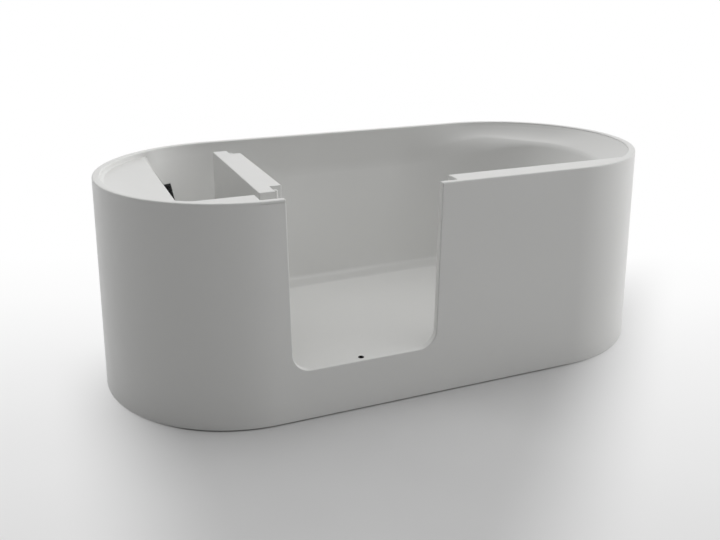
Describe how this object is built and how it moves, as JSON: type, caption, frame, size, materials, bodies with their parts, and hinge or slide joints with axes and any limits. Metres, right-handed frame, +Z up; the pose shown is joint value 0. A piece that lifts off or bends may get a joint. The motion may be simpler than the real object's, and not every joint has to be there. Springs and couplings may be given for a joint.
{
  "type": "walk-in bathtub with door",
  "caption": "Freestanding pill-shaped walk-in bathtub with a low threshold and an inward-opening plug door, shown open.",
  "frame": {"origin": "on the floor under the middle of the tub's outline", "axes": "+X along the tub away from the waste, -Y to the door side, +Z up"},
  "size_m": [1.7, 0.785, 0.61],
  "materials": {
    "acrylic_white": "glossy moulded shell",
    "stainless": "brushed",
    "polished_steel": "polished",
    "zinc_steel": "zinc coated, satin",
    "seal_white": "soft pale seal",
    "rubber_black": "matte",
    "black_plastic": "satin black",
    "white_plastic": "satin",
    "core_foam": "rough backing core",
    "magnet_dark": "dark coated magnet"
  },
  "bodies": {
    "tub": {"outer_skirt": "acrylic_white", "inner_basin": "acrylic_white", "door_surround": "acrylic_white", "lower_hinge_frame_leaf": "stainless", "lower_hinge_pin": "stainless", "upper_hinge_frame_leaf": "stainless", "upper_hinge_pin": "stainless", "frame_hinge_screws": "stainless", "hinge_backing_plates": "zinc_steel", "strike_plates": "stainless", "waste_flange": "polished_steel", "waste_top_washer": "rubber_black", "waste_under_washer": "rubber_black", "waste_backnut": "white_plastic", "waste_plug_guide": "white_plastic", "trap_body": "white_plastic", "trap_nut": "white_plastic", "outlet_elbow": "white_plastic", "overflow_cover": "black_plastic", "overflow_body": "black_plastic", "overflow_gasket": "rubber_black", "overflow_pipe": "black_plastic", "threshold_drain_bush": "black_plastic", "threshold_drain_hose": "black_plastic", "floor_core": "core_foam", "base_rails": "zinc_steel", "cross_bars": "zinc_steel", "frame_bolts": "zinc_steel", "skirt_brackets": "zinc_steel", "bracket_screws": "zinc_steel", "foot_pads": "rubber_black", "foot_studs": "zinc_steel", "foot_nuts": "zinc_steel"},
    "door": {"door_outer_panel": "acrylic_white", "door_inner_panel": "acrylic_white", "door_side_seals": "seal_white", "door_bottom_seal": "seal_white", "lower_hinge_door_leaf": "stainless", "upper_hinge_door_leaf": "stainless", "door_hinge_screws": "stainless", "door_magnets": "magnet_dark"},
    "waste_stopper": {"waste_plug": "polished_steel"}
  },
  "joints": [
    {"name": "door_swing", "type": "hinge", "parent": "tub", "child": "door", "pos_m": [-0.48, -0.3095, 0], "axis": [0, 0, 1], "range_deg": [-90, 8]},
    {"name": "waste_plug_lift", "type": "slide", "parent": "tub", "child": "waste_stopper", "axis": [0, 0, 1], "range_m": [0, 0.009]}
  ]
}
